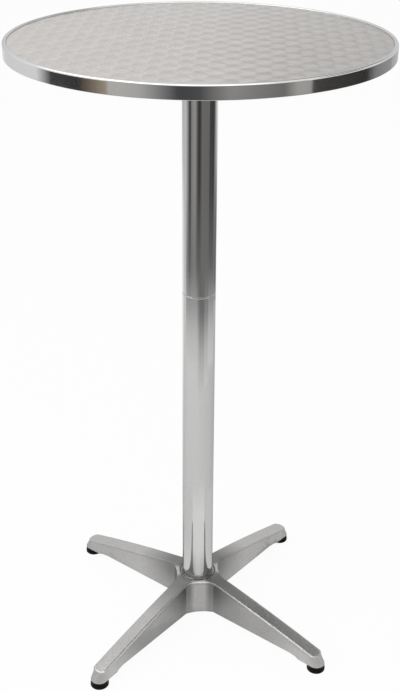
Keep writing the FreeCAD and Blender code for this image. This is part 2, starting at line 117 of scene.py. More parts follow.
def empty_tree(owner):
    """Switch an owner's nodes on and clear them."""
    owner.use_nodes = True
    owner.node_tree.nodes.clear()
    return owner.node_tree


# %% Sums in a node tree
# sockets of the Mix node for each kind of value: the first, the second and the result
mix_sockets = {"FLOAT": (2, 3, 0), "VECTOR": (4, 5, 1), "RGBA": (6, 7, 2)}


def calc(tree, operation, *values):
    """Add a Math node and give back its result."""
    return add(tree, "ShaderNodeMath", dict(enumerate(values)), operation=operation).outputs[0]


def vector_calc(tree, operation, *values):
    """Add a Vector Math node and give back its vector."""
    return add(tree, "ShaderNodeVectorMath", dict(enumerate(values)), operation=operation).outputs["Vector"]


def vector_length(tree, vector):
    """Give back the length of a vector."""
    return add(tree, "ShaderNodeVectorMath", {0: vector}, operation="LENGTH").outputs["Value"]


def axes_of(tree, vector):
    """Split a vector into X, Y and Z."""
    return add(tree, "ShaderNodeSeparateXYZ", {0: vector}).outputs


def combined(tree, x=0.0, y=0.0, z=0.0):
    """Put X, Y and Z together into a vector."""
    return add(tree, "ShaderNodeCombineXYZ", {0: x, 1: y, 2: z}).outputs[0]


def spread(tree, value, low, high, start=0.0, end=1.0):
    """Stretch a value from start..end to low..high."""
    values = {"Value": value, "From Min": start, "From Max": end, "To Min": low, "To Max": high}
    return add(tree, "ShaderNodeMapRange", values).outputs["Result"]


def mixed(tree, kind, share, first, second):
    """Go from a first value to a second one as the share goes from 0 to 1."""
    first_socket, second_socket, result = mix_sockets[kind]
    values = {0: share, first_socket: first, second_socket: second}
    return add(tree, "ShaderNodeMix", values, data_type=kind).outputs[result]


# %% [markdown]
# The studio.
# The photograph's background is pure white. More light would wash the metal out, so the world and the
# floor are white only for rays that come from the camera or from a reflection, and light the table at a
# plain level otherwise. The floor keeps a share of plain paint, so that the table still casts its shadow
# on it.

# %% World and floor
def seen_directly(tree, in_metal=1.0):
    """Give 1 for camera rays, a share for rays that metal reflects, and 0 for all others."""
    path = add(tree, "ShaderNodeLightPath").outputs
    return calc(tree, "MULTIPLY_ADD", path["Is Glossy Ray"], in_metal, path["Is Camera Ray"])


white = (1, 1, 1, 1)
pale = (0.9, 0.9, 0.9, 1)
room_light = 0.6
floor_half = 8.0
floor_drop = 0.5 * MM
floor_in_metal = 0.28
floor_glow = 0.95

world = bpy.data.worlds.new("studio")
bpy.context.scene.world = world
tree = empty_tree(world)
soft = add(tree, "ShaderNodeBackground", {"Color": white, "Strength": room_light})
bright = add(tree, "ShaderNodeBackground", {"Color": white, "Strength": 1.0})
mix = add(tree, "ShaderNodeMixShader", {0: seen_directly(tree), 1: soft.outputs[0], 2: bright.outputs[0]})
add(tree, "ShaderNodeOutputWorld", {"Surface": mix.outputs[0]})

floor_mesh = bpy.data.meshes.new("floor")
build = bmesh.new()
bmesh.ops.create_grid(build, x_segments=1, y_segments=1, size=floor_half)
bmesh.ops.translate(build, verts=build.verts[:], vec=(0, 0, -floor_drop))
build.to_mesh(floor_mesh)
build.free()
floor = new_object("floor", floor_mesh)
floor_paint = bpy.data.materials.new("pale_floor")
tree = empty_tree(floor_paint)
paint = add(tree, "ShaderNodeBsdfDiffuse", {"Color": pale})
glow = add(tree, "ShaderNodeEmission", {"Color": white, "Strength": 1.0})
share = calc(tree, "MULTIPLY", seen_directly(tree, floor_in_metal), floor_glow)
mix = add(tree, "ShaderNodeMixShader", {0: share, 1: paint.outputs[0], 2: glow.outputs[0]})
add(tree, "ShaderNodeOutputMaterial", {"Surface": mix.outputs[0]})
floor_mesh.materials.append(floor_paint)
print("floor", floor.dimensions[:])


# %% [markdown]
# Lamp and cards.
# Polished metal has no colour of its own to show: it shows the room. The dark and light patches on the rim
# and the pole are the room that stood round the table. A studio does this with cards and black flags, and
# so does this one. The camera looks down, so the upright pole and rim mirror what lies on the floor, and
# most cards lie flat there. Those for the legs and the face stand or hang. Only reflections see the cards,
# so they cast no shadow and never come into the picture.

# %% Lamp
lamp_place, lamp_target = Vector((-0.3, -2.4, 3.0)), Vector((0, 0, 0.6))
lamp_data = bpy.data.lights.new("key_lamp", "AREA")
lamp_data.shape = "DISK"
lamp_data.size = 4.0
lamp_data.energy = 75
lamp = new_object("key_lamp", lamp_data)
look = (lamp_target - lamp_place).to_track_quat("-Z", "Y")
lamp.matrix_world = Matrix.Translation(lamp_place) @ look.to_matrix().to_4x4()
lamp.visible_glossy = False
print("lamp at", lamp_place[:])

# %% Paint of the cards
card_paint = bpy.data.materials.new("card_paint")
tree = empty_tree(card_paint)
colour = add(tree, "ShaderNodeAttribute", attribute_name="paint").outputs["Color"]
paint = add(tree, "ShaderNodeEmission", {"Color": colour, "Strength": 1.0})
add(tree, "ShaderNodeOutputMaterial", {"Surface": paint.outputs[0]})
print("card_paint", len(tree.nodes), "nodes")


# %% One card
degrees_to_step = 3
cards = []


def card(name, start, end, first, last, rows):
    """Lay or stand a curved card round the table, from start to end in degrees to the right of the camera.

    Its colour goes from first to last along it, and changes from row to row."""
    mesh = bpy.data.meshes.new(name)
    build = bmesh.new()
    colours = build.verts.layers.float_color.new("paint")
    steps = max(1, round(abs(end - start) / degrees_to_step))
    columns = []
    for step in range(steps + 1):
        share = step / steps
        angle = camera_azimuth + math.radians(start + (end - start) * share)
        colour = [a + (b - a) * share for a, b in zip(first, last)]
        column = []
        for radius, height, factor, level, towards in rows:
            point = build.verts.new((radius * math.sin(angle), -radius * math.cos(angle), height))
            point[colours] = [value * factor * (1 - towards) + level * towards for value in colour] + [1.0]
            column.append(point)
        columns.append(column)
    for left, right in zip(columns, columns[1:]):
        for number in range(len(rows) - 1):
            build.faces.new((left[number], right[number], right[number + 1], left[number + 1]))
    build.to_mesh(mesh)
    build.free()
    item = new_object(name, mesh)
    mesh.materials.append(card_paint)
    item.visible_camera = False
    item.visible_diffuse = False
    item.visible_shadow = False
    item.visible_transmission = False
    cards.append(name)


# %% Rows, greys and rounds of cards
def row(radius, height, factor=1.0, level=0.0, towards=0.0):
    """One row of a card: its place in metres, a factor on the colour, and a share towards a grey level."""
    return radius, height, factor, level, towards


def grey(level, warm=0.0):
    """A grey, warmer or cooler by a share."""
    return (level * (1 + warm), level, level * (1 - warm))


def cards_round(start, rows, *parts):
    """Set cards side by side, each from where the one before it ends, and give back the last end."""
    for name, end, first, last in parts:
        card(name, start, end, first, last, rows)
        start = end
    return start


# %% [markdown]
# Cards for the rim.
# The rim is a round mirror, and tells where each card goes: every spot on it looks in one known direction.
# Going round from the left it shows a pale wall, a dark flag, a warm stretch like wood, a grey fill that
# falls off to the dark of the camera's side, a grey room with a lighter strip, a second flag, and a pale
# edge. They lie far out, beyond what the pole mirrors.

# %% Rim cards
rim_part = (row(4.2, 0.008), row(7.5, 0.009))
cards_round(
    -169, rim_part,
    ("rim_left_white", -102, grey(1.05), grey(0.86)),
    ("rim_left_edge", -90, grey(0.82), grey(0.06)),
    ("rim_left_flag", -68, grey(0.055), grey(0.04)),
    ("rim_wood_card", -51, grey(0.06, 0.25), grey(0.34, 0.22)),
    ("rim_left_fill", -32, grey(0.58, 0.02), grey(0.50, 0.02)),
    ("rim_left_fall", -13, grey(0.48), grey(0.09)),
    ("rim_camera_flag", 1, grey(0.07, -0.06), grey(0.10, -0.06)),
    ("rim_room", 16, grey(0.12), grey(0.34, 0.03)),
    ("rim_room_right", 46, grey(0.34, 0.03), grey(0.19, 0.03)),
    ("rim_strip_edge", 54, grey(0.19, 0.03), grey(0.46, 0.03)),
    ("rim_right_strip", 63, grey(0.46, 0.03), grey(0.42, 0.03)),
    ("rim_right_flag", 106, grey(0.06, 0.06), grey(0.04, 0.04)),
    ("rim_right_fall", 115, grey(0.06), grey(0.28)),
    ("rim_right_fill", 139, grey(0.28), grey(0.46)),
    ("rim_right_edge", 159, grey(0.58), grey(0.75)))
print("cards with the rim's", len(cards))


# %% [markdown]
# Cards for the pole.
# The pole mirrors the same room, drawn out into upright stripes. Its top looks at the floor far away and
# its foot at the floor close by, which is pale, so each card turns lighter towards the table. Where the
# room is dark, the pale part reaches less far out.

# %% Pole cards
pole_part = (row(1.72, 0.006, level=0.24, towards=0.7), row(2.5, 0.007, level=0.2, towards=0.15),
             row(4.2, 0.008))
lowest_row, row_rise = 2 * MM, 1 * MM


def with_foot(*rings):
    """Rows of one grey each, from a radius and a level, that lead out to the pole's own rows."""
    rows = [row(radius, lowest_row + number * row_rise, level=level, towards=1.0)
            for number, (radius, level) in enumerate(rings)]
    return (*rows, *pole_part)


light_foot = with_foot((1.05, 0.92), (1.28, 0.75), (1.40, 0.55))
half_foot = with_foot((0.95, 0.92), (1.20, 0.70), (1.40, 0.36))
dark_foot = with_foot((0.85, 0.92), (1.10, 0.68), (1.28, 0.40), (1.40, 0.22))
left_part = (row(0.45, 0.002, level=0.85, towards=0.9), row(0.75, 0.003, 0.9, level=0.85, towards=0.3),
             row(1.08, 0.004), row(2.20, 0.005), row(2.85, 0.006, 0.78), row(4.20, 0.008, 0.62))
soft_part = (row(1.6, 0.008), row(4.2, 0.008))
right_part = (row(1.45, 0.004, level=0.55, towards=1.0), row(1.63, 0.005, 0.26), row(2.15, 0.006, 0.26),
              row(2.50, 0.007, 0.40), row(2.85, 0.008, 0.62), row(4.20, 0.008))

at = cards_round(
    -169, left_part,
    ("left_white", -140, grey(1.55), grey(1.30)),
    ("left_pale", -118, grey(1.30), grey(0.90)))
at = cards_round(at, soft_part, ("left_soft", -98, grey(0.82), grey(0.80)))
at = cards_round(
    at, light_foot,
    ("pole_left_edge", -70, grey(0.80), grey(0.09)),
    ("pole_left_flag", -57, grey(0.07), grey(0.10)),
    ("pole_left_fill", -28, grey(0.30, 0.06), grey(0.46, 0.02)),
    ("pole_left_fall", -9, grey(0.40), grey(0.05)))
at = cards_round(at, half_foot, ("pole_camera_flag", 3, grey(0.045), grey(0.055)))
at = cards_round(
    at, dark_foot,
    ("pole_room", 15, grey(0.055), grey(0.20)),
    ("pole_room_middle", 38, grey(0.22, 0.02), grey(0.21, 0.02)))
at = cards_round(at, half_foot, ("pole_room_right", 66, grey(0.21, 0.02), grey(0.20, 0.02)))
at = cards_round(
    at, light_foot,
    ("pole_right_flag", 107, grey(0.075), grey(0.06)),
    ("pole_right_fill", 122, grey(0.15), grey(0.45)))
cards_round(at, right_part, ("pole_right_edge", 165, grey(0.70), grey(1.75)))
print("cards with the pole's", len(cards))

# %% [markdown]
# Cards for the legs.
# The walls of the legs and of the hub look at the floor between the legs, where small cards lie. The ends
# of the legs look out across the room, where three tall cards stand, and a dark flag hangs to the right. A
# large soft box above the camera lights what faces it from above.

# %% Leg cards
gap_height = 0.001
gap_part = (row(0.06, gap_height), row(0.16, gap_height), row(0.26, gap_height, level=0.85, towards=0.9),
            row(0.45, gap_height, level=0.85, towards=1.0))
front_part = (row(0.06, gap_height), row(0.16, gap_height), row(0.23, gap_height, level=1.02, towards=0.9),
              row(0.36, gap_height, level=1.02, towards=1.0), row(0.48, gap_height, level=0.88, towards=1.0))
# The two crook cards beside the front legs are darker: painted shadow of the legs on the floor, which the
# walls mirror. The gap cards are near white where the floor lies in the legs' shade: painted light.
cards_round(-122, gap_part, ("left_gap", -48, grey(0.95), grey(0.95)))
cards_round(
    -36, front_part,
    ("left_crook_shadow", -14, grey(0.56), grey(0.64)),
    ("front_gap", 20, grey(0.80), grey(0.80)),
    ("right_crook_shadow", 49, grey(0.72), grey(0.70)))
cards_round(60, gap_part, ("right_gap", 135, grey(0.88), grey(0.88)))

wall_radius = 7.6
wing_part = (row(wall_radius, 0.01), row(wall_radius, 1.2), row(wall_radius, 2.0, level=0.9, towards=0.8))
side_part = (row(wall_radius, 3.0, level=0.9, towards=0.8), row(wall_radius, 3.6), row(wall_radius, 6.5),
             row(wall_radius, 7.5, level=0.9, towards=0.8))
softbox_part = (row(0.9, 3.5), row(2.9, 2.9))
cards_round(
    -52, wing_part,
    ("left_wing", -28, grey(0.45), grey(0.30)),
    ("front_flag", 34, grey(0.20), grey(0.20)),
    ("right_wing", 60, grey(0.24), grey(0.36)))
cards_round(75, side_part, ("right_flag", 112, grey(0.25), grey(0.25)))
cards_round(-120, softbox_part, ("front_softbox", 45, grey(2.4), grey(2.0)))
print("cards with the legs'", len(cards))

# %% [markdown]
# Cards for the face.
# The flat face sends the camera's look up and away behind the table. Two tall cards stand there, darker
# higher up, so that the face falls off from the back to the front. A low cool strip behind them runs along
# the back.

# %% Face cards
back_radius = 2.2
back_part = (row(back_radius, 1.36, 0.95, level=1.0, towards=0.85),
             row(back_radius, 1.62, level=1.0, towards=0.80),
             row(back_radius, 1.82, level=1.0, towards=0.35), row(back_radius, 2.1, 0.8),
             row(back_radius, 2.5, 0.48), row(back_radius, 4.4, 0.48),
             row(back_radius, 5.2, level=1.0, towards=0.9))
cards_round(
    122, back_part,
    ("back_right_card", 150, grey(0.82), grey(0.55)),
    ("back_card", 176, grey(0.55), grey(0.78, -0.02)))

strip_radius = 2.3
strip_part = (row(strip_radius, 1.25), row(strip_radius, 1.44),
              row(strip_radius, 1.62, level=1.0, towards=0.9))
cards_round(115, strip_part, ("back_horizon", 235, grey(0.85, -0.04), grey(0.85, -0.04)))
print("cards with the face's", len(cards))


# %% [markdown]
# Finishes.
# Each finish starts from the same few nodes: a principled shader, its output, and the place of the shaded
# point on its own piece. The pieces all sit at the origin, so one millimetre of pattern is one millimetre
# of table.

# %% Start of a finish
finishes = {}


def new_finish(slot, metallic, **constants):
    """Start a finish for a material slot. Give back its tree, its shader and the place on the piece."""
    material = bpy.data.materials.new(slot + "_finish")
    tree = empty_tree(material)
    shader = add(tree, "ShaderNodeBsdfPrincipled")
    add(tree, "ShaderNodeOutputMaterial", {"Surface": shader.outputs[0]})
    shader.inputs["Metallic"].default_value = metallic
    for name, value in constants.items():
        shader.inputs[name].default_value = value
    finishes[slot] = material
    return tree, shader, add(tree, "ShaderNodeTexCoord").outputs["Object"]


def edge_tint(level):
    """How bright a metal is where light grazes it, next to a perfect mirror."""
    return {"Specular Tint": (level, level, level, 1)}


# %% Patterns and relief
def stretched(tree, place, x, y, z):
    """Stretch a place by a factor along each axis, in pattern steps to the metre."""
    return add(tree, "ShaderNodeMapping", {"Vector": place, "Scale": (x, y, z)}).outputs[0]


def noise(tree, vector, scale, detail, roughness=0.5):
    """Soft noise between 0 and 1."""
    values = {"Vector": vector, "Scale": scale, "Detail": detail, "Roughness": roughness}
    return add(tree, "ShaderNodeTexNoise", values).outputs[0]


def coloured(tree, shader, amount, dark, light):
    """Colour a shader from dark to light as the amount goes from 0 to 1."""
    tree.links.new(mixed(tree, "RGBA", amount, (*dark, 1), (*light, 1)), shader.inputs["Base Color"])


def roughened(tree, shader, roughness):
    """Give a shader its roughness."""
    tree.links.new(roughness, shader.inputs["Roughness"])


def relief(tree, shader, height, depth):
    """Raise and lower the shaded surface by a height from 0 to 1, times a depth in metres."""
    bump = add(tree, "ShaderNodeBump", {"Height": height, "Distance": depth, "Strength": 1.0})
    tree.links.new(bump.outputs[0], shader.inputs["Normal"])


# %% [markdown]
# Swirled steel.
# The face is stainless steel, spotted with a spinning abrasive in rows, so that every swirl covers part of
# the one before it. Each swirl is a set of fine rings. The rings could be an image, but a rule is sharper:
# the face is ruled into square cells, the four swirls that reach a point are tried in the order they were
# made, and the last one that covers it gives the distance from its middle. The rings scatter light across
# themselves, so the shader is told that the rough direction runs outwards from the middle of each swirl.

# %% Swirls
swirl_pitch = 30.5 * MM
swirl_turn = math.radians(-9.0)
swirl_reach = 0.73
tree, shader, place = new_finish("swirl_steel", 1.0, Anisotropic=0.48, **edge_tint(0.80))
ruled = add(tree, "ShaderNodeMapping", {"Vector": place, "Rotation": (0, 0, -swirl_turn),
                                        "Scale": (1 / swirl_pitch, 1 / swirl_pitch, 0)}).outputs[0]
cell = vector_calc(tree, "FLOOR", ruled)
inside = vector_calc(tree, "FRACTION", ruled)
from_middle, made = inside, cell
for corner in ((1, 0, 0), (0, 1, 0), (1, 1, 0)):
    reach = vector_calc(tree, "SUBTRACT", inside, corner)
    covers = calc(tree, "LESS_THAN", vector_length(tree, reach), swirl_reach)
    number = vector_calc(tree, "ADD", cell, corner)
    from_middle = mixed(tree, "VECTOR", covers, from_middle, reach)
    made = mixed(tree, "VECTOR", covers, made, number)
print("swirls", len(tree.nodes), "nodes")

# %% Rings of a swirl
ring_shift = 37.0
rings_to_cell = 24.0
edge_shade_from = 0.45
radius = vector_length(tree, from_middle)
chance = add(tree, "ShaderNodeTexWhiteNoise", {"Vector": made}, noise_dimensions="3D").outputs["Value"]
ring_place = calc(tree, "MULTIPLY_ADD", chance, ring_shift, radius)
ring_values = {"W": ring_place, "Scale": rings_to_cell, "Detail": 3.0, "Roughness": 0.6}
rings = add(tree, "ShaderNodeTexNoise", ring_values, noise_dimensions="1D").outputs[0]
# painted shade: each swirl is darker towards its edge, for the shade of a dished swirl's edge
edge = spread(tree, radius, 0.0, 1.0, edge_shade_from, swirl_reach)
shade = calc(tree, "MULTIPLY_ADD", rings, 0.5, calc(tree, "MULTIPLY", chance, 0.25))
shade = calc(tree, "SUBTRACT", shade, calc(tree, "MULTIPLY", edge, 0.3))
shade = calc(tree, "ADD", shade, 0.3)
coloured(tree, shader, shade, (0.600, 0.572, 0.551), (0.717, 0.684, 0.658))
roughened(tree, shader, spread(tree, rings, 0.26, 0.42))
outwards = add(tree, "ShaderNodeVectorRotate", {"Vector": from_middle, "Angle": swirl_turn},
               rotation_type="Z_AXIS")
tree.links.new(outwards.outputs[0], shader.inputs["Tangent"])
relief(tree, shader, rings, 0.03 * MM)
print("swirl_steel", len(tree.nodes), "nodes")


# %% [markdown]
# Rolled and drawn aluminium.
# The rim is a bright strip that was rolled round the board, so its faint marks run round it. The pole is
# drawn tube, and its marks run along it. Both are noise that is stretched several hundred times along the
# way the metal was worked.

# %% Rim and pole
def bright_metal(tree, shader, marks, wear, dark, light):
    """Colour a bright metal by its marks, and roughen it by its marks and its wear."""
    coloured(tree, shader, marks, dark, light)
    rough = calc(tree, "MULTIPLY_ADD", wear, 0.08, calc(tree, "MULTIPLY", marks, 0.05))
    roughened(tree, shader, calc(tree, "ADD", rough, 0.03))
    relief(tree, shader, marks, 0.002 * MM)


tree, shader, place = new_finish("rim_aluminium", 1.0, **edge_tint(0.75))
flat = vector_calc(tree, "MULTIPLY", place, (1, 1, 0))
height = axes_of(tree, place)["Z"]
round_place = combined(tree, vector_length(tree, flat), height)
along = vector_calc(tree, "ADD", stretched(tree, round_place, 2600, 2600, 1), stretched(tree, flat, 6, 6, 1))
marks = noise(tree, along, 1.0, 3.0)
wear = noise(tree, stretched(tree, place, 45, 45, 45), 1.0, 4.0, 0.6)
bright_metal(tree, shader, marks, wear, (0.655, 0.66, 0.655), (0.745, 0.75, 0.74))
print("rim_aluminium", len(tree.nodes), "nodes")

tree, shader, place = new_finish("tube_aluminium", 1.0, **edge_tint(0.75))
marks = noise(tree, stretched(tree, place, 1500, 1500, 5), 1.0, 3.0)
wear = noise(tree, stretched(tree, place, 60, 60, 14), 1.0, 4.0, 0.6)
bright_metal(tree, shader, marks, wear, (0.55, 0.55, 0.545), (0.64, 0.64, 0.635))
print("tube_aluminium", len(tree.nodes), "nodes")

# %% [markdown]
# Ground casting.
# The base and the bracket are cast aluminium, ground on a belt and buffed. The belt runs along each leg
# and leaves scratches that way, and the sand leaves a slow waviness and a fine grain under them.

# %% Scratches of the belt
tree, shader, place = new_finish("cast_aluminium", 1.0, **edge_tint(0.75))
x, y, z = axes_of(tree, place)
on_x_leg = calc(tree, "GREATER_THAN", calc(tree, "ABSOLUTE", x), calc(tree, "ABSOLUTE", y))
along = mixed(tree, "FLOAT", on_x_leg, y, x)
across = mixed(tree, "FLOAT", on_x_leg, x, y)
leg_place = combined(tree, along, across, z)
belt = vector_calc(tree, "ADD", stretched(tree, leg_place, 45, 1300, 1300), stretched(tree, place, 9, 9, 0))
scratches = noise(tree, belt, 1.0, 4.0, 0.65)
waves = noise(tree, place, 70.0, 2.0)
grain = noise(tree, place, 330.0, 4.0, 0.75)
print("scratches", len(tree.nodes), "nodes")


# %% [markdown]
# Painted shade on the casting.
# Shade is painted into the casting's colour: it turns dark where shade falls, in its corners and creases,
# which Ambient Occlusion nodes find, and at the root of each leg next to the hub, found by the distance from
# the pole. The seat of the pole, which is machined, is left out of the painted shade. The ends of the legs
# are only tumbled, so they stay duller.

# %% Where shade is painted on the casting
def openness(tree, distance, low, high):
    """Give 0 in corners and 1 on open faces, by how much of the piece stands close by."""
    shut_in = add(tree, "ShaderNodeAmbientOcclusion", {"Distance": distance}, samples=8, only_local=True)
    return spread(tree, shut_in.outputs["AO"], 0.0, 1.0, low, high)


corner_reach, crease_reach = 70 * MM, 16 * MM
root_start, root_end = 60 * MM, 140 * MM
wall_low, wall_high = 25 * MM, 62 * MM
seat_radius = 33.5 * MM
toe_start, toe_end = 262 * MM, 275 * MM

from_pole = vector_length(tree, vector_calc(tree, "MULTIPLY", place, (1, 1, 0)))
slant = calc(tree, "DIVIDE", calc(tree, "ABSOLUTE", across), calc(tree, "ABSOLUTE", along))
facing_up = axes_of(tree, add(tree, "ShaderNodeTexCoord").outputs["Normal"])["Z"]
# painted shade at the root of each leg near the hub: along the leg, on its walls and on faces that look up
near_hub = spread(tree, from_pole, 1.0, 0.0, root_start, root_end)
root = calc(tree, "MULTIPLY", near_hub, spread(tree, slant, 1.0, 0.0, 0.35, 0.6))
wall_share = spread(tree, z, 0.52, 0.92, wall_low, wall_high)
top_share = spread(tree, facing_up, 0.0, 0.85, 0.2, 0.7)
root = calc(tree, "MULTIPLY", root, calc(tree, "MAXIMUM", wall_share, top_share))
seat = calc(tree, "LESS_THAN", from_pole, seat_radius)
# share left unshaded: painted shade in corners and creases and at the roots of the legs, none in the seat of
# the pole
unshaded_share = calc(tree, "MULTIPLY", openness(tree, corner_reach, 0.35, 0.85),
                 openness(tree, crease_reach, 0.45, 0.85))
unshaded_share = calc(tree, "MULTIPLY", unshaded_share, calc(tree, "SUBTRACT", 1.0, root))
unshaded_share = calc(tree, "MAXIMUM", unshaded_share, seat)
toe = calc(tree, "MULTIPLY", spread(tree, from_pole, 0.0, 0.3, toe_start, toe_end),
           spread(tree, facing_up, 1.0, 0.0, 0.5, 0.9))
print("painted shade of the casting", len(tree.nodes), "nodes")

# %% Colour and relief of the casting
# painted shade: the colour that corners, creases and the roots of the legs darken to
painted_shade_colour = (0.20, 0.198, 0.195, 1)
ground_dark, ground_light = (0.25, 0.246, 0.241, 1), (0.70, 0.695, 0.685, 1)
tone = calc(tree, "MULTIPLY_ADD", scratches, 0.4, calc(tree, "MULTIPLY", grain, 0.5))
tone = calc(tree, "MULTIPLY_ADD", waves, 0.1, tone)
ground = mixed(tree, "RGBA", tone, ground_dark, ground_light)
tree.links.new(mixed(tree, "RGBA", unshaded_share, painted_shade_colour, ground), shader.inputs["Base Color"])
rough = calc(tree, "MULTIPLY_ADD", unshaded_share, -0.2, spread(tree, tone, 0.35, 0.50, 0.3, 0.7))
roughened(tree, shader, calc(tree, "ADD", rough, toe))
bumps = calc(tree, "MULTIPLY_ADD", waves, 1.0, calc(tree, "MULTIPLY", scratches, 0.12))
bumps = calc(tree, "MULTIPLY_ADD", grain, 0.10, bumps)
relief(tree, shader, bumps, 0.2 * MM)
print("cast_aluminium", len(tree.nodes), "nodes")

# %% [markdown]
# Zinc plate, black plastic, board and backing.
# The fasteners are zinc plated, with a cool sheen that is cloudy up close. The pads are moulded in black
# plastic with a fine spark texture, and dusty where they meet the floor. The board is pressed fibre. The
# sheet that closes the underside is a dark laminate with a faint fibre grain.

# %% Zinc and plastic
tree, shader, place = new_finish("zinc_steel", 1.0, **edge_tint(0.75))
clouds = noise(tree, place, 420.0, 4.0, 0.6)
coloured(tree, shader, clouds, (0.50, 0.51, 0.53), (0.68, 0.68, 0.66))
roughened(tree, shader, spread(tree, clouds, 0.24, 0.46, 0.2, 0.8))
relief(tree, shader, clouds, 0.02 * MM)

dust_height = 3.0 * MM
tree, shader, place = new_finish("black_plastic", 0.0, **{"Specular IOR Level": 0.06})
spark = noise(tree, place, 2600.0, 3.0, 0.7)
low_down = spread(tree, axes_of(tree, place)["Z"], 1.0, 0.0, 0.0, dust_height)
dust = calc(tree, "MULTIPLY", low_down, noise(tree, place, 300.0, 4.0, 0.65))
coloured(tree, shader, dust, (0.004, 0.004, 0.0043), (0.03, 0.029, 0.027))
roughened(tree, shader, spread(tree, spark, 0.34, 0.52))
relief(tree, shader, spark, 0.03 * MM)
print("black_plastic", len(tree.nodes), "nodes")

# %% Board and backing
tree, shader, place = new_finish("board", 0.0)
fibres = noise(tree, stretched(tree, place, 260, 260, 900), 1.0, 5.0, 0.7)
coloured(tree, shader, fibres, (0.20, 0.13, 0.07), (0.45, 0.32, 0.19))
roughened(tree, shader, spread(tree, fibres, 0.65, 0.9))
relief(tree, shader, fibres, 0.2 * MM)

tree, shader, place = new_finish("backing", 0.0)
fibres = noise(tree, stretched(tree, place, 900, 70, 900), 1.0, 5.0, 0.65)
clouds = noise(tree, place, 9.0, 3.0)
tone = calc(tree, "MULTIPLY_ADD", fibres, 0.7, calc(tree, "MULTIPLY", clouds, 0.3))
coloured(tree, shader, tone, (0.018, 0.016, 0.014), (0.055, 0.048, 0.042))
roughened(tree, shader, spread(tree, fibres, 0.42, 0.62))
relief(tree, shader, fibres, 0.04 * MM)
print("finishes", sorted(finishes))

# %% [markdown]
# Finishes on the model.
# The CAD pieces take these finishes first, each by the slot that the record gives it. Those that stay as
# they are, such as the board and the upper rod, are then done.

# %% Finish every CAD node
for part in frame["record"]["subparts"]:
    mesh = nodes[part["node"]].data
    mesh.materials.clear()
    mesh.materials.append(finishes[part["material_slot"]])


# %% [markdown]
# Measuring and handing over.
# A finished piece has to fit where its CAD node sits, so its heights and its radius are read from that
# node. It then rides on the body that carries it, hides the CAD node it stands for and takes its slot's
# finish.
# Before that its doubles are merged, its faces turned outwards, and its shading made smooth up to its
# sharp edges.

# %% Measure a node
def measures(node, middle=0.0):
    """Give a round CAD node's bottom, top and radius in millimetres. Its axis stands at x = middle."""
    low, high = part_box(node)
    return [round(value / MM, 3) for value in (low.z, high.z, high.x - middle)]


# %% Hand a piece over
def hand_over(name, build, body, slot, node, sharp=32):
    """Close a mesh, shade it, and let it stand for a CAD node."""
    bmesh.ops.remove_doubles(build, verts=build.verts[:], dist=same_point)
    bmesh.ops.recalc_face_normals(build, faces=build.faces[:])
    mesh = bpy.data.meshes.new(name)
    build.to_mesh(mesh)
    build.free()
    mesh.shade_smooth()
    mesh.set_sharp_from_angle(angle=math.radians(sharp))
    mesh.materials.clear()
    mesh.materials.append(finishes[slot])
    item = new_object(name, mesh)
    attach(item, body)
    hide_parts(node)
    print(name, len(mesh.vertices), "points", len(mesh.polygons), "faces")
    return item


# %% [markdown]
# Turned pieces.
# Most of this table is an outline taken once round an upright axis: the face, the rim, the poles, the
# pads, the washers. A lathe in code could do it. One Geometry Nodes tree does it here: the outline is
# swept along a circle, so that a change of size is a change of one number. Long runs get an extra point
# close to each end. It keeps the rounding of an edge from tilting the shading of the flat beside it, which
# would smear the reflections.

# %% Start, end and use of a Geometry Nodes tree
def new_tree(name, sockets):
    """Start a Geometry Nodes tree. Give back the tree, its named inputs and their identifiers."""
    tree = bpy.data.node_groups.new(name, "GeometryNodeTree")
    identifiers = {}
    for label, kind in sockets:
        socket = tree.interface.new_socket(label, in_out="INPUT", socket_type="NodeSocket" + kind)
        identifiers[label] = socket.identifier
    tree.interface.new_socket("Piece", in_out="OUTPUT", socket_type="NodeSocketGeometry")
    return tree, add(tree, "NodeGroupInput").outputs, identifiers


def end_tree(tree, geometry, material):
    """End a tree in real geometry with its finish."""
    real = add(tree, "GeometryNodeRealizeInstances", {"Geometry": geometry})
    painted = add(tree, "GeometryNodeSetMaterial", {"Geometry": real.outputs[0], "Material": material})
    add(tree, "NodeGroupOutput", {0: painted.outputs[0]})
    print(tree.name, len(tree.nodes), "nodes")


def made_by(tree, identifiers, mesh, **values):
    """Run a Geometry Nodes tree on a mesh and give back the result as a plain bmesh."""
    item = new_object(tree.name, mesh)
    modifier = item.modifiers.new(tree.name, "NODES")
    modifier.node_group = tree
    for label, value in values.items():
        modifier[identifiers[label.replace("_", " ")]] = value
    evaluated = item.evaluated_get(bpy.context.evaluated_depsgraph_get())
    plain = bpy.data.meshes.new_from_object(evaluated)
    build = bmesh.new()
    build.from_mesh(plain)
    item.modifiers.remove(modifier)
    bpy.data.objects.remove(item)
    return build


# %% Tree that turns an outline
turning, sizes, turning_inputs = new_tree("turned_piece", (
    ("Outline", "Geometry"), ("Path radius", "Float"), ("Steps round", "Int"), ("Centre", "Vector"),
    ("Finish", "Material")))
section = add(turning, "GeometryNodeMeshToCurve", {0: sizes["Outline"]})
way = add(turning, "GeometryNodeCurvePrimitiveCircle", {"Resolution": sizes["Steps round"],
                                                       "Radius": sizes["Path radius"]})
swept = add(turning, "GeometryNodeCurveToMesh", {"Curve": way.outputs[0],
                                                "Profile Curve": section.outputs[0]})
closed = add(turning, "GeometryNodeMergeByDistance", {"Geometry": swept.outputs[0], "Distance": same_point})
placed = add(turning, "GeometryNodeTransform", {"Geometry": closed.outputs[0],
                                               "Translation": sizes["Centre"]})
end_tree(turning, placed.outputs[0], sizes["Finish"])


